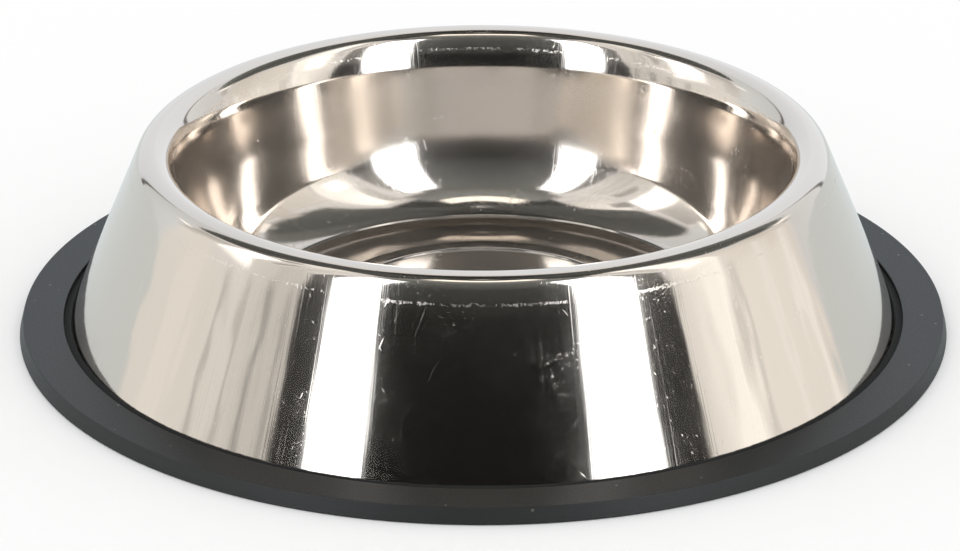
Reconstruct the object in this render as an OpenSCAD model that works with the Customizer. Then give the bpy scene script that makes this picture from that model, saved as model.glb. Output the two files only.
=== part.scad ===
// Non-tip dog bowl: one pressed sheet of stainless steel on one moulded rubber ring.
// The sheet starts at the curled edge inside the ring, climbs the leaning skirt, rolls over the rim,
// drops into the food bowl and ends in a stepped base. Both faces of the sheet stay one gauge apart.
// The origin is on the floor under the middle of the bowl, +Z is up, and lengths are in millimetres.

/* [Sheet] */
// Thickness of the steel sheet
sheet_t = 0.6; // [0.4:0.05:0.7]

/* [Ring's outline] */
// Diameter of the ring on the floor, which the rim, the flange and the base follow
ring_d = 250; // [200:0.1:300]
// Lean of the ring's outer side from upright
ring_lean = 14.3; // [0:0.1:25]

/* [Rim] */
// How far the top of the rim lies inside the ring's outer edge
rim_inset = 37.2; // [30:0.1:46]
// Height of the top of the rim above the floor
rim_h = 51.9; // [42:0.1:80]
// Outer radius of the rolled rim
rim_roll_r = 5; // [3:0.1:7]
// Slope at which the roll gives way to the brow, measured from level on the bowl side
brow_start_slope = 60; // [50:0.5:66]
// Radius of the brow, the wide bend that turns the rim down into the bowl
brow_r = 23.7; // [12:0.1:26]

/* [Bowl] */
// Draft of the bowl's wall from upright
wall_draft = 11.5; // [5:0.5:16]
// Radius of the slow bend in the lower part of the wall
wall_bend_r = 78; // [40:1:90]
// How far this slow bend turns
wall_bend_turn = 8.3; // [4:0.1:10]
// Radius of the bend from there to the base
bowl_curve_r = 24.2; // [16:0.1:27]
// Slope that is left in this bend where the base's first step cuts it off
curve_end_slope = 28; // [14:0.5:34]

/* [Base] */
// Height of the base's upper face above the floor
base_h = 3.7; // [2.6:0.1:9]
// Height of the base's outer step
ledge_h = 0.52; // [0.42:0.02:1.4]
// Width of the flat band from this step to the shallow cone
base_band_w = 17.4; // [8:0.1:20]
// Width of the shallow cone up to the sunken centre panel
cone_w = 6.4; // [4:0.1:12]
// Height that the shallow cone gains
cone_rise = 0.6; // [0.35:0.01:0.8]
// Slope of the small steps
step_slope = 45; // [40:1:60]
// Radius of the upper bend of the small steps
step_top_r = 0.75; // [0.7:0.05:0.9]
// Radius of the lower bend of the small steps
step_foot_r = 0.25; // [0.15:0.05:0.4]

/* [Foot] */
// Width of the foot flange from the skirt's bend to its curled edge
flange_w = 6.5; // [4:0.1:9]
// Radius of the bend from the skirt into the foot flange
foot_bend_r = 1.5; // [1:0.1:3]
// Outer radius of the curled edge
curl_r = 1; // [0.9:0.05:1.4]

/* [Ring's rubber] */
// Thickness of the rubber outside the curled edge, on the floor
ring_side_t = 6; // [4:0.1:9]
// Thickness of the rubber over the curled edge
ring_lip_t = 0.9; // [0.7:0.05:3]
// Thickness of the rubber under the curled edge
ring_skin_t = 1; // [0.7:0.05:3]
// Gap between the skirt and the ring's upper opening
ring_lip_gap = 2; // [1:0.1:3]
// How far the ring reaches inward under the flange past its upper opening
ring_sole_w = 2; // [0:0.1:4]
// Rounding of the ring's edges
ring_edge_r = 0.3; // [0.1:0.05:0.35]
// Clearance between the sheet and the rubber
fit_gap = 0.2; // [0.1:0.05:0.3]

/* [Quality] */
// How far a chord may lie from the arc that it stands for
chord_gap = 0.01; // [0.005:0.005:0.05]
// Sides of the revolved solids where they are shown as a mesh
sides = 240; // [96:12:360]

/* [Hidden] */

// Direction given by its angle from level outward: 90 points up and 180 points at the axis
function facing(a) = [cos(a), sin(a)];

// Points of an arc about c from one facing to another, taken on the far side where r is negative
function arc(c, r, from, to) =
    let (chord_angle = 2 * acos(1 - chord_gap / abs(r)))
    let (steps = ceil(abs(to - from) / chord_angle))
    [for (i = [0:steps]) c + r * facing(from + (to - from) * i / steps)];

// How far from the origin a straight face lies along its facing a, where it touches a circle
function reach(c, r, a) = c * facing(a) + r;

// Distance from the axis, at height z, of the straight face with facing a and a given reach
function out_at(z, a, reach) = (reach - z * sin(a)) / cos(a);

// Point where two straight faces meet
function meet(reach_1, a_1, reach_2, a_2) =
    let (r = reach_1 * sin(a_2) - reach_2 * sin(a_1))
    let (z = reach_2 * cos(a_1) - reach_1 * cos(a_2))
    [r, z] / sin(a_2 - a_1);

function reversed(points) = [for (i = [len(points) - 1:-1:0]) points[i]];

// Facings of the straight stretches that a slope sets
brow_face = 90 + brow_start_slope;
wall_face = 180 - wall_draft;
curve_start_face = wall_face - wall_bend_turn;
curve_end_face = 90 + curve_end_slope;
step_face = 90 + step_slope;

// Foot flange, with its edge curled under by three quarters of a turn
flange_d = ring_d - 2 * ring_side_t;
flange_z = ring_skin_t + fit_gap + 2 * curl_r;
curl_c = [flange_d / 2 - curl_r, flange_z - curl_r];
foot_c = [flange_d / 2 - flange_w, flange_z + foot_bend_r];

// Rim, and the skirt as the line that touches both the rolled rim and the bend at its foot
roll_c = [ring_d / 2 - rim_inset, rim_h - rim_roll_r];
roll_to_foot = foot_c - roll_c;
skirt_face = atan2(roll_to_foot[1], roll_to_foot[0])
    + acos((rim_roll_r + foot_bend_r) / norm(roll_to_foot));
skirt_reach = reach(roll_c, rim_roll_r, skirt_face);

// Brow and wall. The wall's slow bend runs into the bend to the base, whose height the base's step sets.
brow_c = roll_c + (rim_roll_r - brow_r) * facing(brow_face);
wall_reach = reach(brow_c, brow_r, wall_face);
curve_c_z = base_h + ledge_h + bowl_curve_r * cos(curve_end_slope);
wall_bend_z = curve_c_z + (wall_bend_r - bowl_curve_r) * sin(curve_start_face);
wall_bend_c = [out_at(wall_bend_z, wall_face, wall_reach + wall_bend_r), wall_bend_z];
curve_c = wall_bend_c - (wall_bend_r - bowl_curve_r) * facing(curve_start_face);

// First step of the base: its upper bend takes over where the bend to the base has its last slope
step_foot_z = base_h + step_foot_r;
ledge_top_c = curve_c - (bowl_curve_r + step_top_r) * facing(curve_end_face);
ledge_reach = reach(ledge_top_c, step_top_r, step_face);
ledge_foot_c = [out_at(step_foot_z, step_face, ledge_reach + step_foot_r), step_foot_z];

// Shallow cone, and the step from its top down to the centre panel
cone_run = cone_w - cone_rise / tan(step_slope);
cone_face = 90 - atan(cone_rise / cone_run);
cone_c = [ledge_foot_c[0] - base_band_w, step_foot_z];
panel_foot_c = [cone_c[0] - cone_w, step_foot_z];
cone_reach = reach(cone_c, -step_foot_r, cone_face);
panel_reach = reach(panel_foot_c, -step_foot_r, step_face);
panel_top_c = meet(cone_reach - step_top_r, cone_face, panel_reach - step_top_r, step_face);

// Bends of the sheet from the curled edge to the base: centre, radius, and facing before and after.
// A negative radius is a bend that is hollow on the show side.
bends = [
    [curl_c, curl_r, -180, 90],
    [foot_c, -foot_bend_r, 90, skirt_face],
    [roll_c, rim_roll_r, skirt_face, brow_face],
    [brow_c, brow_r, brow_face, wall_face],
    [wall_bend_c, -wall_bend_r, wall_face, curve_start_face],
    [curve_c, -bowl_curve_r, curve_start_face, curve_end_face],
    [ledge_top_c, step_top_r, curve_end_face, step_face],
    [ledge_foot_c, -step_foot_r, step_face, 90],
    [cone_c, -step_foot_r, 90, cone_face],
    [panel_top_c, step_top_r, cone_face, step_face],
    [panel_foot_c, -step_foot_r, step_face, 90]
];

// Outline of one face of the sheet, at a depth under the show side
function sheet_face(depth) = concat(
    [for (b = bends) each arc(b[0], b[1] - depth, b[2], b[3])],
    [[0, base_h - depth]]
);

module steel_bowl() {
    color([0.80, 0.80, 0.78])
        rotate_extrude($fn = sides)
            polygon(concat(sheet_face(0), reversed(sheet_face(sheet_t))));
}

// Groove of the ring: a slot for the flange that opens into a round pocket for the curled edge
slot_top_z = flange_z + fit_gap;
slot_foot_z = flange_z - sheet_t - fit_gap;
pocket_r = curl_r + fit_gap;
pocket_end = 180 - asin((slot_foot_z - curl_c[1]) / pocket_r);

// Ring, with its upper opening set off from the skirt
ring_h = slot_top_z + ring_lip_t;
ring_lip_r = out_at(ring_h, skirt_face, skirt_reach) + ring_lip_gap;
ring_sole_r = ring_lip_r - ring_sole_w;
ring_side_reach = reach([ring_d / 2, 0], 0, ring_lean);
edge_foot_z = ring_edge_r;
edge_top_z = ring_h - ring_edge_r;

// Section of the ring, counter-clockwise from its outer edge on the floor
ring_section = concat(
    arc([out_at(edge_foot_z, ring_lean, ring_side_reach - ring_edge_r), edge_foot_z], ring_edge_r, -90, ring_lean),
    arc([out_at(edge_top_z, ring_lean, ring_side_reach - ring_edge_r), edge_top_z], ring_edge_r, ring_lean, 90),
    arc([ring_lip_r + ring_edge_r, edge_top_z], ring_edge_r, 90, 180),
    arc([ring_lip_r + ring_edge_r, slot_top_z + ring_edge_r], ring_edge_r, 180, 270),
    arc(curl_c, pocket_r, 90, pocket_end - 360),
    arc([ring_sole_r + ring_edge_r, slot_foot_z - ring_edge_r], ring_edge_r, 90, 180),
    arc([ring_sole_r + ring_edge_r, edge_foot_z], ring_edge_r, 180, 270)
);

module rubber_ring() {
    color([0.20, 0.20, 0.21])
        rotate_extrude($fn = sides)
            polygon(ring_section);
}

steel_bowl();
rubber_ring();
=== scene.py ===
"""Looks of the stainless dog bowl: a mirror-polished pressed sheet on a moulded rubber ring.

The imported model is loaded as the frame. Both nodes are replaced by smooth surfaces of the same sizes,
turned from the same outlines about the Z axis, so that the polish reflects without facets.
"""

import math

import bpy
import numpy as np
from bpy.props import FloatProperty, FloatVectorProperty, IntProperty, PointerProperty
from bpy.types import Operator, Panel, PropertyGroup
from mathutils import Matrix, Vector


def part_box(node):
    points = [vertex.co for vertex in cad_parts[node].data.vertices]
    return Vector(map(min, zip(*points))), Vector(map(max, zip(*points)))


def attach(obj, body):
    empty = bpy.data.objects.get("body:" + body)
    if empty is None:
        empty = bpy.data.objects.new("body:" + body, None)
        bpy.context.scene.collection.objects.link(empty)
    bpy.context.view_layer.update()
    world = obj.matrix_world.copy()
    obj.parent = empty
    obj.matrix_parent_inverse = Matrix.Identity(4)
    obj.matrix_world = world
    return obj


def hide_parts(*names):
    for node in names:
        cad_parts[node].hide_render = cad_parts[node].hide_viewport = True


bl_info = {
    "name": "Dog bowl",
    "version": (1, 0, 0),
    "blender": (4, 5, 0),
    "location": "3D View > Sidebar > Dog bowl",
    "description": "Builds a stainless dog bowl on a rubber ring, and the studio around it",
    "category": "Add Mesh",
}

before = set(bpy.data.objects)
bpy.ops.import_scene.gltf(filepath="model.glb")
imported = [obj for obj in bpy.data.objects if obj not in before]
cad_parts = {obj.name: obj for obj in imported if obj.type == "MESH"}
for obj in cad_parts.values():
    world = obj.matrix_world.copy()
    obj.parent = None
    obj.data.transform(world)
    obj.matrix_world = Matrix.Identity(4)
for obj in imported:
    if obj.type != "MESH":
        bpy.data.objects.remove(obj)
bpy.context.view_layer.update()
STEEL_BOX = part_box("steel_bowl")

# One millimetre in metres.
MM = 0.001

# Facings of a level face and of one that looks at the axis.
UP = math.radians(90)
INWARD = math.radians(180)

# Places of some bends in the list that sheet_bends returns.
CURL, FOOT, RIM_ROLL, LEDGE_FOOT = 0, 1, 2, 7

# Steps of the arcs of the curled edge and of the ring's rounded edges.
CURL_STEPS = 14
EDGE_STEPS = 5

# Longest stretch in metres between two rows of points on the sheet, and the distance within which two
# points are taken for one.
ROW_GAP = 4 * MM
SAME_POINT = 1e-7

# How far below the top of the rim a nested bowl rubs, outside on the skirt and inside on the brow.
RUB_OUTSIDE = 6.5 * MM
RUB_INSIDE = 4.7 * MM

# Points along each side of a studio card, and the tint of most cards.
CARD_POINTS = 25
NEUTRAL = "#FFFFFB"

# Half the side of the studio's floor in metres, and its height just under the ring.
FLOOR_HALF = 12.0
FLOOR_Z = -0.1 * MM

# Width of the camera's sensor in millimetres, and of the photograph in pixels.
SENSOR_WIDTH = 36
PHOTO_WIDTH = 960


def length(name, text, millimetres):
    """A size in metres that a user can change."""
    return FloatProperty(name=name, description=text, default=millimetres / 1000, unit="LENGTH",
                         subtype="DISTANCE", precision=5)


def angle(name, text, degrees):
    """An angle that a user can change, shown in degrees."""
    return FloatProperty(name=name, description=text, default=math.radians(degrees), unit="ROTATION",
                         subtype="ANGLE")


def linear(code):
    """Turns an sRGB hex colour into the linear colour that the shaders use."""
    parts = [int(code.lstrip("#")[i:i + 2], 16) / 255 for i in (0, 2, 4)]
    return tuple(c / 12.92 if c <= 0.04045 else ((c + 0.055) / 1.055) ** 2.4 for c in parts)


def colour(name, text, code):
    """A colour that a user can change, given as sRGB hex."""
    return FloatVectorProperty(name=name, description=text, default=linear(code), subtype="COLOR", size=3,
                               min=0, max=1)


class SteelSizes(PropertyGroup):
    """Sizes of the pressed sheet. All but the last three are the same as in the part's source."""

    sheet: length("Sheet", "Thickness of the steel sheet", 0.6)
    rim_height: length("Rim height", "Top of the rim above the floor", round(STEEL_BOX[1].z / MM, 2))
    rim_inset: length("Rim inset", "How far the top of the rim lies inside the ring's outer edge", 37.2)
    rim_roll: length("Rim roll", "Outer radius of the rolled rim", 5)
    brow_start: angle("Brow start", "Slope at which the roll gives way to the brow", 60)
    brow: length("Brow", "Radius of the wide bend that turns the rim down into the bowl", 23.7)
    wall_draft: angle("Wall draft", "Draft of the bowl's wall from upright", 11.5)
    wall_bend: length("Wall bend", "Radius of the slow bend in the lower part of the wall", 78)
    wall_bend_turn: angle("Wall bend turn", "How far the slow bend turns", 8.3)
    bowl_curve: length("Bowl curve", "Radius of the bend from the wall to the base", 24.2)
    curve_end: angle("Curve end", "Slope left in this bend where the base's step cuts it off", 28)
    base_height: length("Base height", "Base's upper face above the floor", 3.7)
    ledge: length("Ledge", "Height of the base's outer step", 0.52)
    base_band: length("Base band", "Width of the flat band from the step to the shallow cone", 17.4)
    cone_width: length("Cone width", "Width of the shallow cone up to the centre panel", 6.4)
    cone_rise: length("Cone rise", "Height that the shallow cone gains", 0.6)
    step_slope: angle("Step slope", "Slope of the small steps", 45)
    step_top: length("Step top", "Radius of the upper bend of the small steps", 0.75)
    step_foot: length("Step foot", "Radius of the lower bend of the small steps", 0.25)
    flange: length("Flange", "Width of the foot flange from the skirt's bend to its curled edge", 6.5)
    foot_bend: length("Foot bend", "Radius of the bend from the skirt into the foot flange", 1.5)
    curl: length("Curl", "Outer radius of the curled edge", 1)
    ease: length("Ease", "Stretch of the skirt that already turns towards the rim's roll", 7)
    ease_turn: angle("Ease turn", "How far it turns before the roll starts", 4)
    columns: IntProperty(name="Columns", description="Sides of the turned surface", default=340, min=48)


class RingSizes(PropertyGroup):
    """Sizes of the moulded ring. All but the last are the same as in the part's source."""

    diameter: length("Diameter", "Diameter of the ring on the floor", 250)
    lean: angle("Lean", "Lean of the ring's outer side from upright", 14.3)
    side: length("Side", "Thickness of the rubber outside the curled edge", 6)
    lip: length("Lip", "Thickness of the rubber over the curled edge", 0.9)
    skin: length("Skin", "Thickness of the rubber under the curled edge", 1)
    lip_gap: length("Lip gap", "Gap between the skirt and the ring's upper opening", 2)
    sole: length("Sole", "How far the ring reaches inward under the flange past its opening", 2)
    edge: length("Edge", "Rounding of the ring's edges", 0.3)
    fit: length("Fit", "Clearance between the sheet and the rubber", 0.2)
    columns: IntProperty(name="Columns", description="Sides of the turned surface", default=400, min=48)


class Finishes(PropertyGroup):
    """Colours of the two materials."""

    steel: colour("Steel", "Face-on colour of the polished stainless steel", "#D7CEC5")
    # Painted shade: the dark colour given to the crevice between the skirt's foot and the ring.
    painted_shade: colour("Painted_crevice_shade", "Colour of the grime in the crevice by the ring", "#12110F")
    rubber: colour("Rubber", "Colour of the moulded rubber", "#171716")
    dust: colour("Dust", "Colour of the dust specks on the rubber", "#8E8A84")


class StudioSettings(PropertyGroup):
    """Camera and studio."""

    distance: length("Camera distance", "Distance from the camera to the bowl's middle", 1250)
    elevation: angle("Camera elevation", "How far the camera looks down", 23.45)
    roll: angle("Camera roll", "Turn of the camera about its line of sight", -0.09)
    aim_x: length("Aim X", "Where the line of sight crosses the bowl's axis plane, sideways", -0.84)
    aim_z: length("Aim Z", "Height at which the line of sight crosses the bowl's axis", 12.86)
    focal_px: FloatProperty(name="Focal length in pixels", description="For a frame 960 pixels wide",
                            default=4635.3)
    daylight: FloatProperty(name="Daylight", description="Strength of the even light from all sides",
                            default=1.0, min=0)
    floor: colour("Floor", "Colour of the studio floor", "#FFFFFF")
    floor_in_polish: colour("Floor in the polish", "Colour of the floor as the steel reflects it", "#E6EEF0")


def facing(a):
    """Unit vectors (cos a, sin a): angle 0 points away from the axis, 90 degrees up."""
    return np.stack([np.cos(a), np.sin(a)], axis=-1)


def arc(centre, radius, start, end, steps):
    """Points centre + radius * facing(a) for a evenly from start to end, with a as each point's facing.
    A negative radius takes the far side of the circle, which is a bend hollow on the show side."""
    a = np.linspace(start, end, steps + 1)
    return np.asarray(centre) + radius * facing(a), a


def reach(centre, radius, a):
    """How far from the origin a straight face with facing a lies, where it touches a circle."""
    return float(np.dot(centre, facing(a)) + radius)


def out_at(z, a, distance):
    """Distance from the axis, at height z, of the straight face with facing a and that reach."""
    return (distance - z * math.sin(a)) / math.cos(a)


def meet(reach_1, a_1, reach_2, a_2):
    """Point where two straight faces meet, from r cos a + z sin a = reach for both."""
    matrix = np.array([[math.cos(a_1), math.sin(a_1)], [math.cos(a_2), math.sin(a_2)]])
    return np.linalg.solve(matrix, np.array([reach_1, reach_2]))


def sheet_bends(steel, ring):
    """Bends of the sheet from the curled edge to the base, each as centre, radius, facing before and
    after, and steps. The skirt is the line that touches the rim's roll and the bend at its foot, and
    each further bend starts on the straight face that the one before it leaves."""
    flange_z = ring.skin + ring.fit + 2 * steel.curl
    flange_r = ring.diameter / 2 - ring.side
    curl_c = np.array([flange_r - steel.curl, flange_z - steel.curl])
    foot_c = np.array([flange_r - steel.flange, flange_z + steel.foot_bend])
    roll_c = np.array([ring.diameter / 2 - steel.rim_inset, steel.rim_height - steel.rim_roll])
    span = foot_c - roll_c
    off_span = math.acos((steel.rim_roll + steel.foot_bend) / np.linalg.norm(span))
    skirt = math.atan2(span[1], span[0]) + off_span
    brow_face = UP + steel.brow_start
    wall_face = INWARD - steel.wall_draft
    curve_face = wall_face - steel.wall_bend_turn
    end_face = UP + steel.curve_end
    step_face = UP + steel.step_slope

    brow_c = roll_c + (steel.rim_roll - steel.brow) * facing(brow_face)
    wall_reach = reach(brow_c, steel.brow, wall_face)
    curve_z = steel.base_height + steel.ledge + steel.bowl_curve * math.cos(steel.curve_end)
    bend_z = curve_z + (steel.wall_bend - steel.bowl_curve) * math.sin(curve_face)
    bend_c = np.array([out_at(bend_z, wall_face, wall_reach + steel.wall_bend), bend_z])
    curve_c = bend_c - (steel.wall_bend - steel.bowl_curve) * facing(curve_face)

    foot_z = steel.base_height + steel.step_foot
    ledge_c = curve_c - (steel.bowl_curve + steel.step_top) * facing(end_face)
    ledge_reach = reach(ledge_c, steel.step_top, step_face)
    ledge_foot = np.array([out_at(foot_z, step_face, ledge_reach + steel.step_foot), foot_z])
    run = steel.cone_width - steel.cone_rise / math.tan(steel.step_slope)
    cone_face = UP - math.atan(steel.cone_rise / run)
    cone_c = np.array([ledge_foot[0] - steel.base_band, foot_z])
    panel_c = np.array([cone_c[0] - steel.cone_width, foot_z])
    cone_reach = reach(cone_c, -steel.step_foot, cone_face)
    panel_reach = reach(panel_c, -steel.step_foot, step_face)
    top_c = meet(cone_reach - steel.step_top, cone_face, panel_reach - steel.step_top, step_face)
    return [
        (curl_c, steel.curl, -INWARD, UP, CURL_STEPS),
        (foot_c, -steel.foot_bend, UP, skirt, 6),
        (roll_c, steel.rim_roll, skirt, brow_face, 34),
        (brow_c, steel.brow, brow_face, wall_face, 12),
        (bend_c, -steel.wall_bend, wall_face, curve_face, 6),
        (curve_c, -steel.bowl_curve, curve_face, end_face, 16),
        (ledge_c, steel.step_top, end_face, step_face, 3),
        (ledge_foot, -steel.step_foot, step_face, UP, 3),
        (cone_c, -steel.step_foot, UP, cone_face, 1),
        (top_c, steel.step_top, cone_face, step_face, 5),
        (panel_c, -steel.step_foot, step_face, UP, 3),
    ]


def sheet_outline(steel, ring):
    """Closed outline of the sheet: the show side from the curled edge to the middle of the base, then
    the hidden side back, one sheet thickness under it. Returns points (r, z), facings of the surface
    and the distance run along the sheet."""
    bends = sheet_bends(steel, ring)
    show, hidden, turns = [], [], []
    for centre, radius, before, after, steps in bends:
        points, a = arc(centre, radius, before, after, steps)
        show.append(points)
        turns.append(a)
        hidden.append(arc(centre, radius - steel.sheet, before, after, steps)[0])
    show = np.concatenate([*show, [[0, steel.base_height]]])
    hidden = np.concatenate([*hidden, [[0, steel.base_height - steel.sheet]]])
    turns = np.concatenate([*turns, [UP]])
    run = np.concatenate([[0], np.cumsum(np.linalg.norm(np.diff(show, axis=0), axis=1))])
    keep = np.concatenate([[True], np.diff(run) > SAME_POINT])
    show, hidden, turns, run = show[keep], hidden[keep], turns[keep], run[keep]
    show, hidden, turns, run = fill_straights(show, hidden, turns, run, ROW_GAP)
    turns = eased(show, turns, run, bends[RIM_ROLL], steel)
    points = np.concatenate([show, hidden[::-1]])
    facings = np.concatenate([turns, turns[::-1] + math.pi])
    return points, facings, np.concatenate([run, run[::-1]])


def skirt_rows(z):
    """Rows of the skirt, where the height z grows along the run: from a third of the way to the rim's
    crest, which is past the curl and the flange, up to the crest."""
    crest = int(np.argmax(z))
    return slice(crest // 3, crest)


def eased(show, turns, run, roll, steel):
    """Facings of the show side, with the rolled rim easing into the skirt as pressed sheet does: the
    facing gains ease_turn along a smooth ramp up to the roll, and loses it again in the roll's start.
    The points stay where they are, because such an easing would move them by about 0.3 mm at most."""
    centre, radius, skirt_face = roll[:3]
    skirt = skirt_rows(show[:, 1])
    start = float(np.interp(centre[1] + radius * math.sin(skirt_face), show[skirt, 1], run[skirt]))
    rise = np.clip((run - start + steel.ease) / steel.ease, 0, 1)
    fall = np.clip(1 - (run - start) / steel.rim_roll, 0, 1)
    return turns + steel.ease_turn * rise * rise * fall


def sheet_places(steel, ring, points, run):
    """Run along the sheet at places that look different: where the skirt leaves its foot bend, the rim's
    crest, where the base begins, and where a bowl nested from below or from above rubs on the skirt or
    on the brow."""
    bends = sheet_bends(steel, ring)
    foot_c, foot_r = bends[FOOT][:2]
    foot_end = foot_c[1] + foot_r * math.sin(bends[RIM_ROLL][2])
    half = len(points) // 2
    r, z, along = points[:half, 0], points[:half, 1], run[:half]
    up = skirt_rows(z)
    down = slice(up.stop, half)
    return {
        "skirt_foot": float(np.interp(foot_end, z[up], along[up])),
        "crest": float(along[up.stop]),
        "base": float(np.interp(-bends[LEDGE_FOOT][0][0], -r[down], along[down])),
        "rub_outside": float(np.interp(steel.rim_height - RUB_OUTSIDE, z[up], along[up])),
        "rub_inside": float(np.interp(RUB_INSIDE - steel.rim_height, -z[down], along[down])),
    }


def fill_straights(show, hidden, turns, run, gap):
    """Adds evenly spaced points where neighbours lie further apart than gap, each quantity blended
    linearly between its neighbours, so that long straight stretches have well shaped faces."""
    counts = np.maximum(np.ceil(np.diff(run) / gap).astype(int), 1)
    starts = np.repeat(np.arange(len(counts)), counts)
    within = np.arange(counts.sum()) - np.repeat(np.cumsum(counts) - counts, counts)
    place = np.append(starts + within / counts[starts], len(run) - 1)
    index = np.arange(len(run))
    blend = [np.interp(place, index, column) for column in (*show.T, *hidden.T, turns, run)]
    return np.stack(blend[:2], 1), np.stack(blend[2:4], 1), blend[4], blend[5]


def ring_outline(steel, ring):
    """Closed outline of the ring, counter-clockwise from its outer edge on the floor: rounded edges,
    the upper opening, and a keyhole groove of a slot for the flange and a round pocket for its curl."""
    bends = sheet_bends(steel, ring)
    curl_c = bends[CURL][0]
    roll_c, roll_r, skirt = bends[RIM_ROLL][:3]
    flange_z = curl_c[1] + steel.curl
    slot_top = flange_z + ring.fit
    slot_foot = flange_z - steel.sheet - ring.fit
    pocket = steel.curl + ring.fit
    pocket_end = INWARD - math.asin((slot_foot - curl_c[1]) / pocket)
    top = slot_top + ring.lip
    lip_r = out_at(top, skirt, reach(roll_c, roll_r, skirt)) + ring.lip_gap
    sole_r = lip_r - ring.sole
    e = ring.edge
    side = reach([ring.diameter / 2, 0], 0, ring.lean) - e
    # The pocket is hollow, so its surface faces its own middle.
    pocket_points, pocket_a = arc(curl_c, pocket, UP, pocket_end - 2 * math.pi, CURL_STEPS)
    arcs = [
        arc([out_at(e, ring.lean, side), e], e, -UP, ring.lean, EDGE_STEPS),
        arc([out_at(top - e, ring.lean, side), top - e], e, ring.lean, UP, EDGE_STEPS),
        arc([lip_r + e, top - e], e, UP, INWARD, EDGE_STEPS),
        arc([lip_r + e, slot_top + e], e, INWARD, INWARD + UP, EDGE_STEPS),
        (pocket_points, pocket_a + math.pi),
        arc([sole_r + e, slot_foot - e], e, UP, INWARD, EDGE_STEPS),
        arc([sole_r + e, e], e, INWARD, INWARD + UP, EDGE_STEPS),
    ]
    points = np.concatenate([points for points, a in arcs])
    facings = np.concatenate([a for points, a in arcs])
    run = np.concatenate([[0], np.cumsum(np.linalg.norm(np.diff(points, axis=0), axis=1))])
    return points, facings, run


def turned(name, points, facings, run, columns, closed):
    """A surface of revolution: point i of the outline at column j is (r cos t, r sin t, z) with
    t = 2 pi j / columns, and its normal is the outline's facing turned the same way. A closed outline
    joins its end to its start, an open one begins and ends on the axis, where one point closes it."""
    body = slice(None) if closed else slice(1, -1)
    if not closed:
        ends = np.abs(points[:, 0]) < SAME_POINT
        assert ends.sum() == 2
        first = int(np.argmax(ends)) + 1
        order = np.r_[first:len(points), 0:first]
        points, facings, run = points[order], facings[order], run[order]
    t = np.arange(columns) * 2 * math.pi / columns
    around = np.stack([np.cos(t), np.sin(t)], axis=1)
    rings, ring_a, ring_run = points[body], facings[body], run[body]
    rows = len(rings)
    grid = np.empty((rows, columns, 3))
    grid[:, :, :2] = rings[:, None, :1] * around[None]
    grid[:, :, 2] = rings[:, None, 1]
    normal = np.empty_like(grid)
    normal[:, :, :2] = np.cos(ring_a)[:, None, None] * around[None]
    normal[:, :, 2] = np.sin(ring_a)[:, None]
    vertices = grid.reshape(-1, 3)
    normals = normal.reshape(-1, 3)
    along = np.repeat(ring_run, columns)

    i = np.arange(rows if closed else rows - 1)
    j = np.arange(columns)
    next_i, next_j = (i + 1) % rows, (j + 1) % columns
    four = ((i, j), (i, next_j), (next_i, next_j), (next_i, j))
    corners = np.stack([row[:, None] * columns + column for row, column in four], axis=-1).ravel()
    totals = np.full(len(corners) // 4, 4)
    if not closed:
        low, high = len(vertices), len(vertices) + 1
        vertices = np.concatenate([vertices, [[0, 0, points[0, 1]], [0, 0, points[-1, 1]]]])
        normals = np.concatenate([normals, [[0, 0, math.sin(facings[0])], [0, 0, math.sin(facings[-1])]]])
        along = np.append(along, [run[0], run[-1]])
        start_fan = np.stack([np.full(columns, low), next_j, j], axis=1).ravel()
        last = (rows - 1) * columns
        end_fan = np.stack([np.full(columns, high), last + j, last + next_j], axis=1).ravel()
        corners = np.concatenate([corners, start_fan, end_fan])
        totals = np.concatenate([totals, np.full(2 * columns, 3)])

    mesh = bpy.data.meshes.new(name)
    mesh.vertices.add(len(vertices))
    mesh.vertices.foreach_set("co", vertices.ravel())
    mesh.loops.add(len(corners))
    mesh.loops.foreach_set("vertex_index", corners)
    mesh.polygons.add(len(totals))
    mesh.polygons.foreach_set("loop_start", np.cumsum(totals) - totals)
    mesh.polygons.foreach_set("loop_total", totals)
    mesh.polygons.foreach_set("use_smooth", np.ones(len(totals), bool))
    mesh.update()
    mesh.validate()
    mesh.attributes.new("run", "FLOAT", "POINT").data.foreach_set("value", along)
    mesh.normals_split_custom_set_from_vertices(normals)
    piece = bpy.data.objects.new(name, mesh)
    bpy.context.scene.collection.objects.link(piece)
    return piece


def soft_edge(t, share):
    """1 inside a card and 0 at its edges: s * s * (3 - 2 s), where s is the distance from the nearer edge
    in shares of the card, divided by the soft share and held between 0 and 1."""
    if share == 0:
        return np.ones_like(t)
    s = np.clip(np.minimum(t, 1 - t) / share, 0, 1)
    return s * s * (3 - 2 * s)


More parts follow.
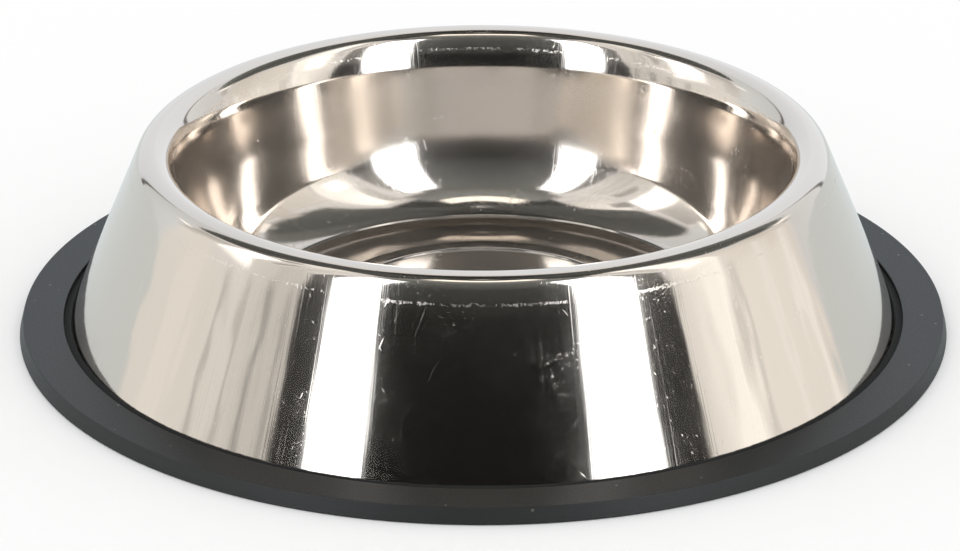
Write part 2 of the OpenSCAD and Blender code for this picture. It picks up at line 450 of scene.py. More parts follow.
def card(name, corners, glow, soft, distance, tint=NEUTRAL):
    """A reflector card. Its four corners are directions given as degrees round from the camera side and
    degrees above the floor: foot left, foot right, head right, head left. The card is the patch of a
    sphere between them, and each point's direction and brightness are blended linearly from the four
    corners. A glow of two numbers has one for the foot and one for the head. The card's cover fades at
    the edges over the soft shares of its width and height."""
    share = np.linspace(0, 1, CARD_POINTS)
    u, v = np.meshgrid(share, share)
    shares = np.stack([(1 - u) * (1 - v), u * (1 - v), u * v, (1 - u) * v], axis=-1)
    az, el = np.moveaxis(shares @ np.radians(np.array(corners, float)), -1, 0)
    points = distance * np.stack([np.cos(el) * np.sin(az), -np.cos(el) * np.cos(az), np.sin(el)], axis=-1)
    i, j = np.divmod(np.arange((CARD_POINTS - 1) ** 2), CARD_POINTS - 1)
    here = i * CARD_POINTS + j
    above = here + CARD_POINTS
    faces = np.stack([here, above, above + 1, here + 1], axis=1)
    mesh = bpy.data.meshes.new(name)
    mesh.from_pydata(points.reshape(-1, 3), [], faces)
    level = shares.reshape(-1, 4) @ np.repeat(glow, 4 // len(glow))
    shade = level[:, None] * np.array(linear(tint))[None]
    cover = soft_edge(u, soft[0]) * soft_edge(v, soft[1])
    colours = np.concatenate([shade, np.ones((len(shade), 1))], axis=1)
    mesh.attributes.new("glow", "FLOAT_COLOR", "POINT").data.foreach_set("color", colours.ravel())
    mesh.attributes.new("cover", "FLOAT", "POINT").data.foreach_set("value", cover.ravel())
    board = bpy.data.objects.new(name, mesh)
    bpy.context.scene.collection.objects.link(board)
    board.visible_camera = False
    board.visible_diffuse = False
    board.visible_shadow = False
    return board


class Nodes:
    """A material's or world's node tree, with one helper that adds a node, its settings and links."""

    def __init__(self, owner):
        owner.use_nodes = True
        self.tree = owner.node_tree
        self.tree.nodes.clear()

    def add(self, kind, settings=None, links=None, values=None):
        """Adds a shader node. settings are its attributes, links its inputs that are fed from a node's
        first output or from (node, output), and values its inputs' own numbers or colours."""
        node = self.tree.nodes.new("ShaderNode" + kind)
        for key, value in (settings or {}).items():
            setattr(node, key, value)
        for key, value in (values or {}).items():
            node.inputs[key].default_value = value
        for key, feed in (links or {}).items():
            source, output = feed if isinstance(feed, tuple) else (feed, 0)
            self.tree.links.new(source.outputs[output], node.inputs[key])
        return node


# Settings of the nodes that work out a sum, for numbers and for vectors.
ADD = {"operation": "ADD"}
SUBTRACT = {"operation": "SUBTRACT"}
MULTIPLY = {"operation": "MULTIPLY"}
MAXIMUM = {"operation": "MAXIMUM"}
ABSOLUTE = {"operation": "ABSOLUTE"}
SCALE = {"operation": "SCALE"}

# Cells per metre of the materials' patterns, each as a number of cells in a real length.
WAVE_CELLS = 1 / (25 * MM)
WRINKLE_CELLS = 3 / (20 * MM)
POLISH_CELLS = 1 / (0.4 * MM)
DEEP_LINE_CELLS = 23 / (10 * MM)
SCUFF_CELLS = 7 / (5 * MM)
PATCH_CELLS = 3 / (40 * MM)
CREVICE_SHADE_CELLS = 1 / (2 * MM)
GRAIN_CELLS = 7 / (5 * MM)
DUST_CELLS = 33 / (100 * MM)

# Rise in metres of each pattern's surface from value 0 to value 1. Noise mostly keeps to the middle
# third of that.
WAVE_HEIGHT = 0.12 * MM
WRINKLE_HEIGHT = 0.34 * MM
POLISH_HEIGHT = 0.0022 * MM
MARK_HEIGHT = 0.02 * MM
GRAIN_HEIGHT = 0.08 * MM

# Radius in metres of the circle on which a point's direction from the axis is drawn as a coordinate.
DIRECTION_CIRCLE = 100 * MM

# The sheet's scratches by direction: lean from level in radians as seen from the front, shift of the
# pattern in metres, its cells per metre along the scratch, the noise between which a scratch fades in, its
# depth, and whether it is one of the wiping scratches inside.
SCRATCHES = (
    (0.95, 0.1, 55.0, 0.8, 0.9, 0.5, False),
    (-1.2, 0.3, 48.0, 0.8, 0.9, 0.5, False),
    (0.35, 0.7, 60.0, 0.81, 0.92, 0.45, False),
    (0.75, 0.5, 45.0, 0.6, 0.8, 0.5, True),
    (-0.6, 0.9, 45.0, 0.62, 0.82, 0.5, True),
)
# Width of a scratch's cells as a share of their length.
SCRATCH_WIDTH_SHARE = 0.025

# What changes along the sheet: a name, the place it is measured from, the two distances in millimetres
# past that place between which it changes, and its values at them.
FADES = (
    ("below_rim", "crest", -12, -24, 0.03, 1.0),
    ("above_foot", "skirt_foot", 0, 16, 0.0, 1.0),
    ("on_wall", "crest", 12, 16, 0.0, 1.0),
    ("past_brow", "crest", 9, 17, 0.0, 0.17),
    ("into_bend", "base", -24, -14, 1.0, 0.5),
    # on_base scales the steel's colour down on the base of the bowl: painted shade.
    ("on_base", "base", -2, 0, 1.0, 0.72),
    ("haze_width", "crest", 2, 12, 0.22, 0.42),
)


def sheet_coordinates(n):
    """Coordinates that marks follow: the object's own, the run along the sheet in metres, a vector in
    metres of the direction from the axis and the run, in which marks can be stretched along the skirt,
    and how far to the right of the axis the surface lies, as a share."""
    where = (n.add("TexCoord"), "Object")
    run = (n.add("Attribute", settings={"attribute_name": "run"}), "Fac")
    flat = n.add("VectorMath", settings=MULTIPLY, links={0: where}, values={1: (1, 1, 0)})
    round_axis = n.add("VectorMath", settings={"operation": "NORMALIZE"}, links={0: flat})
    circle = n.add("VectorMath", settings=SCALE, links={0: round_axis}, values={"Scale": DIRECTION_CIRCLE})
    height = n.add("CombineXYZ", links={"Z": run})
    sheet = n.add("VectorMath", settings=ADD, links={0: circle, 1: height})
    side = (n.add("SeparateXYZ", links={"Vector": round_axis}), "X")
    return where, run, sheet, side


def fades_along(n, run, places):
    """The rows of FADES as nodes, by name."""
    fades = {}
    for name, place, first, second, before, after in FADES:
        span = {"From Min": places[place] + first * MM, "From Max": places[place] + second * MM}
        fades[name] = n.add("MapRange", links={"Value": run},
                            values={**span, "To Min": before, "To Max": after})
    return fades


def press_marks(n, where, sheet, side, fades):
    """Bump of the marks that the press leaves: a slow waviness and the drawing wrinkles of the skirt."""
    # The waviness is about 25 mm from crest to crest and a few hundredths of a millimetre high.
    wave = n.add("TexNoise", links={"Vector": where},
                 values={"Scale": WAVE_CELLS, "Detail": 1.0, "Roughness": 0.4})
    bump = n.add("Bump", links={"Height": wave}, values={"Distance": WAVE_HEIGHT})

    # Drawing wrinkles run up the skirt, 5 to 8 mm apart and up to a tenth of a millimetre high, and die
    # out towards the rim and the foot. They are strongest across the rolling direction of the sheet,
    # which is to both sides here, and weak again at the far left and right.
    long_way = n.add("Mapping", links={"Vector": sheet}, values={"Scale": (1, 1, 0.22)})
    wrinkle = n.add("TexNoise", links={"Vector": long_way},
                    values={"Scale": WRINKLE_CELLS, "Detail": 0.8, "Roughness": 0.5})
    across = n.add("Math", settings=ABSOLUTE, links={0: side})
    how_much = n.add("MapRange", links={"Value": across},
                     values={"From Min": 0.4, "From Max": 0.8, "To Min": 0.15, "To Max": 1.0})
    far_side = n.add("MapRange", links={"Value": across},
                     values={"From Min": 0.88, "From Max": 0.96, "To Min": 1.0, "To Max": 0.15})
    for part in (fades["below_rim"], fades["above_foot"], far_side):
        how_much = n.add("Math", settings=MULTIPLY, links={0: how_much, 1: part})
    level = n.add("Math", settings=SUBTRACT, links={0: wrinkle}, values={1: 0.5})
    wrinkles = n.add("Math", settings=MULTIPLY, links={0: level, 1: how_much})
    return n.add("Bump", links={"Height": wrinkles, "Normal": bump}, values={"Distance": WRINKLE_HEIGHT})


def wear_marks(n, where, run, sheet, patches, fades, places):
    """Marks of use, as a node from 0 for sound polish to 1 for the deepest mark: rub marks, hair and
    wiping scratches, and deeper polishing lines."""
    # Rub marks are short scuffs, 0.1 to 0.5 mm, in a narrow line where nested bowls touch, and loosely
    # scattered elsewhere.
    scuff = n.add("TexNoise", links={"Vector": where},
                  values={"Scale": SCUFF_CELLS, "Detail": 2.0, "Roughness": 0.6, "Distortion": 1.2})
    easier = n.add("MapRange", links={"Value": patches},
                   values={"From Min": 0.4, "From Max": 0.74, "To Max": 0.19})
    near_a_line = None
    for place in ("rub_outside", "rub_inside"):
        off = n.add("Math", settings=SUBTRACT, links={0: run}, values={1: places[place]})
        off = n.add("Math", settings=ABSOLUTE, links={0: off})
        near = n.add("MapRange", links={"Value": off},
                     values={"From Min": 0.8 * MM, "From Max": 0.2 * MM, "To Max": 0.21})
        if near_a_line is None:
            near_a_line = near
        else:
            near_a_line = n.add("Math", settings=MAXIMUM, links={0: near_a_line, 1: near})
    easier = n.add("Math", settings=ADD, links={0: near_a_line, 1: easier})
    raised = n.add("Math", settings=ADD, links={0: scuff, 1: easier})
    marks = n.add("MapRange", links={"Value": raised},
                  values={"From Min": 0.79, "From Max": 0.88, "To Max": 0.85})

    # Hair scratches are about 0.05 mm wide and 5 to 20 mm long, and are drawn 0.2 mm wide. Crossed wiping
    # scratches lie closer together, in worn patches on the wall inside, and are drawn 0.3 mm wide.
    worn = n.add("MapRange", links={"Value": patches},
                 values={"From Min": 0.48, "From Max": 0.6, "To Max": 0.7})
    worn = n.add("Math", settings=MULTIPLY, links={0: worn, 1: fades["on_wall"]})
    for lean, shift, cells, low, high, depth, wiping in SCRATCHES:
        place = n.add("Mapping", settings={"vector_type": "TEXTURE"}, links={"Vector": sheet},
                      values={"Location": (shift, shift, shift), "Rotation": (0, lean, 0),
                              "Scale": (1, SCRATCH_WIDTH_SHARE, SCRATCH_WIDTH_SHARE)})
        hairs = n.add("TexNoise", links={"Vector": place}, values={"Scale": cells, "Detail": 0.0})
        hairs = n.add("MapRange", links={"Value": hairs},
                      values={"From Min": low, "From Max": high, "To Max": depth})
        if wiping:
            hairs = n.add("Math", settings=MULTIPLY, links={0: hairs, 1: worn})
        marks = n.add("Math", settings=MAXIMUM, links={0: marks, 1: hairs})

    # A few deeper polishing lines, 0.1 mm wide and drawn 0.3 mm wide, run far up and down the skirt.
    long_lines = n.add("Mapping", links={"Vector": sheet},
                       values={"Location": (0.5, 0.2, 0.1), "Scale": (1, 1, 0.012)})
    deep = n.add("TexNoise", links={"Vector": long_lines}, values={"Scale": DEEP_LINE_CELLS, "Detail": 0.0})
    deep = n.add("MapRange", links={"Value": deep},
                 values={"From Min": 0.67, "From Max": 0.82, "To Max": 0.22})
    return n.add("Math", settings=MAXIMUM, links={0: marks, 1: deep})


def haze_shares(n, side, patches, polish, fades):
    """Shares of haze over the mirror, as nodes: the whole, and what the inside of the bowl has of it."""
    # Outside, haze lies in smears, with streaks up and down the skirt, and is thickest on the right of
    # the front.
    clouds = n.add("MapRange", links={"Value": patches},
                   values={"From Min": 0.42, "From Max": 0.7, "To Max": 0.04})
    wiped = n.add("MapRange", links={"Value": side},
                  values={"From Min": 0.02, "From Max": 0.22, "To Min": 0.45, "To Max": 1.0})
    streaks = n.add("MapRange", links={"Value": polish},
                    values={"From Min": 0.42, "From Max": 0.66, "To Max": 0.055})
    streaks = n.add("Math", settings=MULTIPLY, links={0: streaks, 1: wiped})
    smears = n.add("Math", settings=ADD, links={0: clouds, 1: streaks})
    smears = n.add("Math", settings=ADD, links={0: smears}, values={1: 0.021})

    # Inside there is more, because the polishing wheel reaches less well and the bowl is wiped. It
    # thins out again in the bend to the base.
    inside = n.add("Math", settings=MULTIPLY, links={0: fades["past_brow"], 1: fades["into_bend"]})
    whole = n.add("Math", settings=MAXIMUM, links={0: inside, 1: smears})
    return whole, inside


def polished_stainless_steel(finish, places):
    """Austenitic stainless sheet, pressed, rolled and mirror polished. The eye sees a slightly warm
    mirror of its surroundings, bent by the drawing wrinkles of the skirt, fine polishing lines that
    run up and down it, rub marks where bowls have been nested, and a few hair scratches. The crevice
    by the ring is coloured dark as painted shade."""
    material = bpy.data.materials.new("mirror_polished_stainless_steel")
    n = Nodes(material)
    where, run, sheet, side = sheet_coordinates(n)
    fades = fades_along(n, run, places)
    patches = n.add("TexNoise", links={"Vector": where},
                    values={"Scale": PATCH_CELLS, "Detail": 2.0, "Roughness": 0.6})

    # Polishing lines are finer than 0.1 mm. They are drawn 0.4 mm apart, so that they show.
    fine_way = n.add("Mapping", links={"Vector": sheet}, values={"Scale": (1, 1, 0.015)})
    polish = n.add("TexNoise", links={"Vector": fine_way},
                   values={"Scale": POLISH_CELLS, "Detail": 1.0, "Roughness": 0.5})
    bump = press_marks(n, where, sheet, side, fades)
    bump = n.add("Bump", links={"Height": polish, "Normal": bump}, values={"Distance": POLISH_HEIGHT})
    marks = wear_marks(n, where, run, sheet, patches, fades, places)
    bump = n.add("Bump", links={"Height": marks, "Normal": bump},
                 values={"Strength": 0.5, "Distance": MARK_HEIGHT})

    # Micro-scratches too fine to draw lay a thin haze over the mirror, which a second, rougher metal
    # stands for. Inside, the mirror itself is softer too. On the base the colour is darker: painted shade.
    hazy, inside = haze_shares(n, side, patches, polish, fades)
    tone = n.add("VectorMath", settings=SCALE, links={"Scale": fades["on_base"]},
                 values={0: tuple(finish.steel)})
    softer = n.add("Math", settings=MULTIPLY, links={0: inside}, values={1: 0.64})
    rough = n.add("MapRange", links={"Value": marks}, values={"To Min": 0.066, "To Max": 0.4})
    rough = n.add("Math", settings=MAXIMUM, links={0: rough, 1: softer})
    mirror = n.add("BsdfPrincipled", values={"Metallic": 1.0},
                   links={"Base Color": tone, "Roughness": rough, "Normal": bump})
    haze = n.add("BsdfPrincipled", values={"Metallic": 1.0},
                 links={"Base Color": tone, "Roughness": fades["haze_width"], "Normal": bump})
    steel = n.add("MixShader", links={0: hazy, 1: mirror, 2: haze})

    # Painted shade: the crevice between the skirt's foot and the ring is coloured dark, with a ragged edge.
    ragged = n.add("TexNoise", links={"Vector": where}, values={"Scale": CREVICE_SHADE_CELLS, "Detail": 2.0})
    edge = n.add("MapRange", links={"Value": ragged},
                 values={"To Min": places["skirt_foot"], "To Max": places["skirt_foot"] + 0.3 * MM})
    below = n.add("Math", settings=SUBTRACT, links={0: edge, 1: run})
    crevice_shade_mask = n.add("MapRange", links={"Value": below}, values={"From Min": 0.0, "From Max": 0.3 * MM})
    painted_shade = n.add("BsdfPrincipled", values={"Base Color": (*finish.painted_shade, 1), "Roughness": 0.8})
    mix = n.add("MixShader", links={0: crevice_shade_mask, 1: steel, 2: painted_shade})
    n.add("OutputMaterial", links={"Surface": mix})
    return material


def moulded_rubber(finish):
    """Dark grey moulded rubber with the satin skin of a spark-eroded mould. The eye sees a soft sheen
    at a low angle, a fine grain, and a few pale dust specks that cling to it."""
    material = bpy.data.materials.new("moulded_satin_rubber")
    n = Nodes(material)
    where = (n.add("TexCoord"), "Object")
    # The mould's grain is about 0.3 mm. It is drawn at 0.7 mm so that it shows.
    grain = n.add("TexNoise", links={"Vector": where}, values={"Scale": GRAIN_CELLS, "Detail": 2.0})
    # Dust specks are 0.2 to 0.5 mm across and are drawn up to 0.8 mm, one to about two square centimetres.
    dots = n.add("TexVoronoi", links={"Vector": where}, values={"Scale": DUST_CELLS})
    speck = n.add("MapRange", links={"Value": dots}, values={"From Min": 0.14, "From Max": 0.08})
    some = n.add("SeparateColor", links={"Color": (dots, "Color")})
    few = n.add("Math", settings={"operation": "GREATER_THAN"}, links={0: (some, "Red")}, values={1: 0.86})
    dusty = n.add("Math", settings=MULTIPLY, links={0: speck, 1: few})
    faint = n.add("Math", settings=MULTIPLY, links={0: dusty}, values={1: 0.5})
    tone = n.add("Mix", settings={"data_type": "RGBA"}, links={0: faint},
                 values={6: (*finish.rubber, 1), 7: (*finish.dust, 1)})
    bump = n.add("Bump", links={"Height": grain}, values={"Strength": 0.5, "Distance": GRAIN_HEIGHT})
    gloss = n.add("MapRange", links={"Value": grain}, values={"To Min": 0.38, "To Max": 0.58})
    bsdf = n.add("BsdfPrincipled", links={"Base Color": (tone, 2), "Roughness": gloss, "Normal": bump},
                 values={"IOR": 1.5})
    n.add("OutputMaterial", links={"Surface": bsdf})
    return material


def studio_card_paper():
    """Card, felt and lit diffuser of the studio. Each card's brightness is in its own glow attribute, and
    its edges fade out by its cover attribute, as the edges of hung paper do out of focus."""
    material = bpy.data.materials.new("studio_card_paper")
    n = Nodes(material)
    glow = n.add("Attribute", settings={"attribute_name": "glow"})
    cover = n.add("Attribute", settings={"attribute_name": "cover"})
    light = n.add("Emission", links={"Color": (glow, "Color")}, values={"Strength": 1.0})
    clear = n.add("BsdfTransparent")
    mix = n.add("MixShader", links={0: (cover, "Fac"), 1: clear, 2: light})
    n.add("OutputMaterial", links={"Surface": mix})
    material.cycles.emission_sampling = "NONE"
    return material


def studio_floor_paper(studio):
    """White seamless paper, matt, so that it keeps the soft shadow under the ring. In the polish it has
    the cooler tone of the paper beside the bowl."""
    material = bpy.data.materials.new("studio_floor_paper")
    n = Nodes(material)
    rays = n.add("LightPath")
    tone = n.add("Mix", settings={"data_type": "RGBA"}, links={0: (rays, "Is Glossy Ray")},
                 values={6: (*studio.floor, 1), 7: (*studio.floor_in_polish, 1)})
    bsdf = n.add("BsdfDiffuse", links={"Color": (tone, 2)})
    n.add("OutputMaterial", links={"Surface": bsdf})
    return material


# The studio as the polish shows it. Each card has its name, its corners as directions in degrees (round
# from the camera side, above the floor; foot left, foot right, head right, head left), its brightness at
# those corners or at its foot and its head, the soft shares of its width and height, its distance in
# metres, and its tint where it isn't neutral.
COOL = "#F0F7FF"
FELT = "#F8FFFB"
STUDIO_CARDS = (
    ("backdrop_left", ((-180, -6), (-139, -6), (-139, 58), (-180, 66)), (1.15, 1.0, 1.1, 1.15),
     (0, 0.1), 3.40, COOL),
    ("backdrop_right", ((138, -6), (180, -6), (180, 66), (138, 60)), (1.2, 1.16), (0, 0.1), 3.39, COOL),
    ("wing_left", ((-139, -6), (-106, -6), (-113, 31), (-139, 60)), (0.85, 1.1, 1.0, 0.9),
     (0.06, 0.14), 3.38, "#F4FBFF"),
    ("wing_right", ((112, -6), (138, -6), (138, 61), (113, 22)), (0.95, 1.08, 1.04, 0.95),
     (0.06, 0.12), 3.37, "#F6FBFF"),
    ("seam_left", ((-143, -8), (-137.5, -8), (-139, 40), (-141.5, 40)), (0.02, 0.3), (0.35, 0.25), 3.35),
    ("seam_right", ((136, -8), (141, -8), (139.5, 42), (137.5, 42)), (0.05, 0.4), (0.35, 0.25), 3.34),
    ("ceiling", ((-180, 66), (180, 66), (180, 89.9), (-180, 89.9)), (0.03, 0.06), (0, 0.12), 3.30, FELT),
    ("dark_corner_left", ((-120, 32), (-94, 42), (-60, 92), (-150, 92)), (0.14, 0.14, 0.1, 0.08),
     (0.12, 0.12), 3.20, FELT),
    ("dark_fold_left", ((-150, 66), (-114, 30), (-98, 40), (-120, 84)), (0.14, 0.12, 0.1, 0.08),
     (0.1, 0.1), 3.18, FELT),
    ("dark_corner_right", ((86, 42), (117, 18), (146, 92), (80, 92)), (0.16, 0.14, 0.08, 0.1),
     (0.1, 0.1), 3.17, FELT),
    ("dark_fold_right", ((118, 26), (121, 26), (158, 82), (118, 80)), (0.24, 0.24, 0.08, 0.1),
     (0.12, 0.1), 3.16, FELT),
    ("side_paper_left", ((-113, 8), (-94, 8), (-94, 40), (-112, 33)), (0.92, 1.05, 0.65, 0.5),
     (0.12, 0.15), 3.02),
    ("side_table_left", ((-125, -6), (-60, -6), (-60, 12), (-106, 13)), (0.95, 1.05, 0.9, 1.1),
     (0.05, 0.15), 3.01),
    ("bright_fold_left", ((-104, -2), (-93, -2), (-93, 24), (-104, 24)), (1.1, 1.0), (0.2, 0.2), 3.0),
    ("side_board_left", ((-80, 2), (-57, 2), (-58, 62), (-74, 50)), (0.95, 0.62, 1.15, 1.0),
     (0.08, 0.08), 2.96),
    ("side_streak_left", ((-70, 10), (-61, 10), (-60, 55), (-66, 50)), (0.75, 0.85, 0.95, 0.75),
     (0.4, 0.15), 2.955),
    ("side_shadow_left", ((-75, 26), (-70, 22), (-68, 48), (-74, 46)), (0.5, 0.45), (0.4, 0.25), 2.95),
    ("side_diffuser_left", ((-95, 14), (-77, 14), (-79, 44), (-94, 43)), (1.5, 2.2, 3.9, 3.2),
     (0.16, 0.08), 2.94),
    ("high_band_left", ((-88.5, 19.5), (-79, 19.5), (-77, 36), (-86.5, 36)), (3.2, 3.6),
     (0.38, 0.25), 2.939),
    ("grey_fold_left_1", ((-86.5, -2), (-82, -2), (-82, 13), (-86.5, 13)), (0.6, 0.7), (0.5, 0.2), 2.935),
    ("grey_fold_left_2", ((-77.5, 2), (-74, 2), (-74, 15), (-77.5, 15)), (0.55, 0.7), (0.5, 0.2), 2.934),
    ("grey_fold_left_3", ((-70.5, 4), (-66, 4), (-66, 17), (-70.5, 17)), (0.38, 0.5), (0.5, 0.2), 2.933),
    ("grey_fold_left_4", ((-62.5, 4), (-60, 4), (-60, 18), (-62.5, 18)), (0.42, 0.5), (0.5, 0.2), 2.932),
    ("high_paper_left", ((-93, 46), (-64, 50), (-68, 67), (-88, 67)), (1.6, 0.9, 0.9, 1.4),
     (0.12, 0.12), 2.93),
    ("high_shadow_left", ((-88, 44), (-78, 43), (-78, 55), (-87, 56)), (0.4, 0.35, 0.45, 0.5),
     (0.3, 0.3), 2.92),
    ("small_lamp_left", ((-119, 21), (-110, 21), (-110, 25), (-119, 25)), (1.7, 1.7), (0.2, 0.3), 2.91),
    ("felt_strip_left", ((-59.5, 2), (-47.5, 2), (-48, 60), (-53, 60)), (0.01, 0.01, 0.45, 0.35),
     (0.14, 0.1), 2.90),
    ("felt_strip_left_low", ((-60.5, -2), (-46, -2), (-47, 23), (-58.5, 23)), (0.02, 0.05),
     (0.14, 0.3), 2.89),
    ("side_board_right", ((78, -6), (112, -6), (110, 24), (80, 42)), (1.2, 1.05, 0.85, 1.0),
     (0.06, 0.08), 2.20, "#FFFDF7"),
    ("side_table_right", ((74, -6), (110, -6), (110, 15), (78, 15)), (1.15, 1.1, 1.1, 1.2),
     (0.08, 0.3), 2.19, "#FFFEF9"),
    ("side_streak_right", ((97, 6), (107, 6), (106, 34), (99, 42)), (1.05, 0.75),
     (0.3, 0.1), 2.18, "#FFFCF4"),
    ("side_gap_right", ((110, 12), (115, 12), (117, 34), (112, 34)), (0.75, 0.4), (0.3, 0.2), 2.17),
    ("bright_fold_right_1", ((92, -2), (96, -2), (96, 20), (92, 20)), (1.25, 1.1), (0.3, 0.2), 2.165),
    ("bright_fold_right_2", ((104, -2), (108, -2), (108, 12), (104, 12)), (1.3, 1.1), (0.3, 0.2), 2.164),
    ("grey_fold_right", ((80, -2), (84, -2), (84, 16), (80, 16)), (0.9, 0.95), (0.3, 0.2), 2.163),
    ("small_lamp_right", ((111, 20), (120, 20), (120, 28), (111, 28)), (1.5, 1.5),
     (0.2, 0.3), 2.16, "#FFFDF8"),
    ("side_diffuser_right", ((56, 2), (79, 2), (82, 66), (68, 66)), (0.6, 1.6, 1.6, 2.4), (0.1, 0.06), 1.70),
    ("bright_fold_right_3", ((69.5, 2), (76.5, 2), (76.5, 20), (69.5, 20)), (1.5, 1.4), (0.25, 0.2), 1.695),
    ("high_band_right", ((64.5, 19.5), (74.5, 19.5), (73.5, 36), (63.5, 36)), (3.2, 3.6),
     (0.38, 0.25), 1.692),
    ("side_shadow_right", ((58, 30), (60, 30), (72, 66), (60, 66)), (0.9, 0.9, 0.7, 0.65),
     (0.3, 0.15), 1.69),
    ("felt_strip_right", ((46, 2), (62.5, 2), (51, 62), (47, 62)), (0.01, 0.5), (0.12, 0.1), 1.68),
    ("felt_strip_right_low", ((44, -2), (63.5, -2), (60, 23), (45, 23)), (0.02, 0.05), (0.12, 0.3), 1.675),
    ("camera_side_curtain", ((-50, 16), (47, 16), (40, 70), (-44, 70)), (0.03, 0.03, 0.22, 0.2),
     (0, 0.1), 2.72, FELT),
    ("camera_side_felt", ((-50, -6), (47, -6), (46, 24), (-49, 24)), (0.008, 0.012), (0, 0.12), 2.70, FELT),
    ("camera_side_head", ((-60, 60), (60, 60), (64, 76), (-64, 76)), (0.16, 0.4), (0.08, 0.25), 2.65, FELT),
    ("softbox_left", ((-47.8, 3), (-31, 3), (-33.5, 60), (-52, 60)), (6.4, 5.6),
     (0.13, 0.1), 2.60, "#F4FAFF"),
    ("softbox_right", ((27.5, 3), (47.7, 3), (50.5, 61), (28.5, 61)), (6.4, 5.6),
     (0.12, 0.1), 1.50, "#F4FAFF"),
    ("overhead_strip", ((-50, 74), (50, 74), (60, 82), (-60, 82)), (1.8, 2.2),
     (0.06, 0.12), 2.50, "#FFFBF2"),
)


class DOGBOWL_OT_steel_bowl(Operator):
    """Turn the pressed and polished steel sheet"""

    bl_idname = "dog_bowl.steel_bowl"
    bl_label = "Steel bowl"

    def execute(self, context):
        scene = context.scene
        steel, ring = scene.dog_bowl_steel, scene.dog_bowl_ring
        points, facings, run = sheet_outline(steel, ring)
        piece = turned("steel_bowl_polished", points, facings, run, steel.columns, closed=False)
        places = sheet_places(steel, ring, points, run)
        piece.data.materials.append(polished_stainless_steel(scene.dog_bowl_finishes, places))
        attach(piece, "root")
        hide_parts("steel_bowl")
        return {"FINISHED"}


class DOGBOWL_OT_rubber_ring(Operator):
    """Turn the moulded rubber ring with its keyhole groove"""

    bl_idname = "dog_bowl.rubber_ring"
    bl_label = "Rubber ring"

    def execute(self, context):
        scene = context.scene
        steel, ring = scene.dog_bowl_steel, scene.dog_bowl_ring
        points, facings, run = ring_outline(steel, ring)
        piece = turned("rubber_ring_moulded", points, facings, run, ring.columns, closed=True)
        piece.data.materials.append(moulded_rubber(scene.dog_bowl_finishes))
        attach(piece, "root")
        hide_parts("rubber_ring")
        return {"FINISHED"}


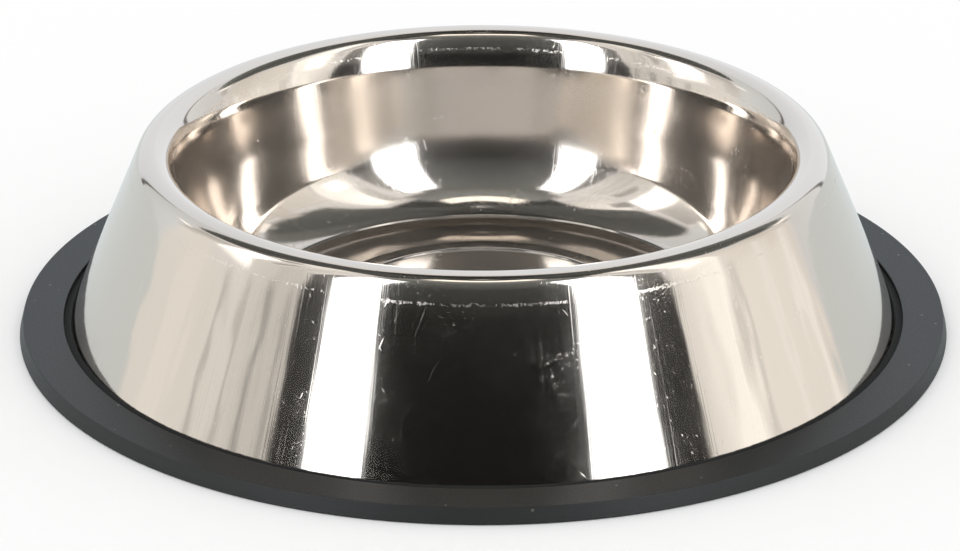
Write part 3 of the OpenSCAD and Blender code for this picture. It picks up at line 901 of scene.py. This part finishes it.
class DOGBOWL_OT_studio(Operator):
    """Set the floor, the reflector cards, the even light and the camera"""

    bl_idname = "dog_bowl.studio"
    bl_label = "Studio"

    def execute(self, context):
        scene = context.scene
        studio = scene.dog_bowl_studio
        mesh = bpy.data.meshes.new("studio_floor")
        square = ((-1, -1), (1, -1), (1, 1), (-1, 1))
        corners = [(x * FLOOR_HALF, y * FLOOR_HALF, FLOOR_Z) for x, y in square]
        mesh.from_pydata(corners, [], [(0, 1, 2, 3)])
        mesh.materials.append(studio_floor_paper(studio))
        floor = bpy.data.objects.new("studio_floor", mesh)
        scene.collection.objects.link(floor)

        paper = studio_card_paper()
        for row in STUDIO_CARDS:
            card(*row).data.materials.append(paper)

        world = bpy.data.worlds.new("even_studio_light")
        scene.world = world
        n = Nodes(world)
        rays = n.add("LightPath")
        seen = n.add("Math", settings=MAXIMUM,
                     links={0: (rays, "Is Camera Ray"), 1: (rays, "Is Glossy Ray")})
        seen = n.add("Math", settings=MAXIMUM, links={0: seen, 1: (rays, "Is Transmission Ray")})
        level = n.add("MapRange", links={"Value": seen}, values={"To Min": studio.daylight, "To Max": 1.0})
        sky = n.add("Background", links={"Strength": level}, values={"Color": (1, 1, 1, 1)})
        n.add("OutputWorld", links={"Surface": sky})

        lens = bpy.data.cameras.new("photograph_view")
        lens.sensor_width = SENSOR_WIDTH
        lens.lens = studio.focal_px * SENSOR_WIDTH / PHOTO_WIDTH
        lens.clip_start = 0.05
        lens.clip_end = 100
        viewer = bpy.data.objects.new("photograph_view", lens)
        scene.collection.objects.link(viewer)
        el = studio.elevation
        look = Vector((0, math.cos(el), -math.sin(el)))
        right = Vector((1, 0, 0))
        above = right.cross(look)
        turn_right = right * math.cos(studio.roll) + above * math.sin(studio.roll)
        turn_above = above * math.cos(studio.roll) - right * math.sin(studio.roll)
        place = Vector((studio.aim_x, 0, studio.aim_z)) - look * studio.distance
        viewer.matrix_world = Matrix((
            (turn_right.x, turn_above.x, -look.x, place.x),
            (turn_right.y, turn_above.y, -look.y, place.y),
            (turn_right.z, turn_above.z, -look.z, place.z),
            (0, 0, 0, 1)))
        scene.camera = viewer
        scene.view_settings.view_transform = "Standard"
        return {"FINISHED"}


class DOGBOWL_PT_parts(Panel):
    """Buttons for the pieces and their sizes"""

    bl_idname = "DOGBOWL_PT_parts"
    bl_label = "Dog bowl"
    bl_space_type = "VIEW_3D"
    bl_region_type = "UI"
    bl_category = "Dog bowl"

    def draw(self, context):
        scene = context.scene
        rows = (
            (DOGBOWL_OT_steel_bowl, scene.dog_bowl_steel),
            (DOGBOWL_OT_rubber_ring, scene.dog_bowl_ring),
            (DOGBOWL_OT_studio, scene.dog_bowl_studio),
            (None, scene.dog_bowl_finishes),
        )
        for operator, group in rows:
            box = self.layout.box()
            if operator is not None:
                box.operator(operator.bl_idname)
            for key in type(group).__annotations__:
                box.prop(group, key)


# What is registered: the classes, and the scene's name for each group of sizes.
CLASSES = (SteelSizes, RingSizes, Finishes, StudioSettings, DOGBOWL_OT_steel_bowl, DOGBOWL_OT_rubber_ring,
           DOGBOWL_OT_studio, DOGBOWL_PT_parts)
GROUPS = {"dog_bowl_steel": SteelSizes, "dog_bowl_ring": RingSizes, "dog_bowl_finishes": Finishes,
          "dog_bowl_studio": StudioSettings}


def register():
    for cls in CLASSES:
        bpy.utils.register_class(cls)
    for name, group in GROUPS.items():
        setattr(bpy.types.Scene, name, PointerProperty(type=group))


def unregister():
    for name in GROUPS:
        delattr(bpy.types.Scene, name)
    for cls in reversed(CLASSES):
        bpy.utils.unregister_class(cls)


def main():
    register()
    bpy.ops.dog_bowl.steel_bowl()
    bpy.ops.dog_bowl.rubber_ring()
    bpy.ops.dog_bowl.studio()


if __name__ == "__main__":
    main()
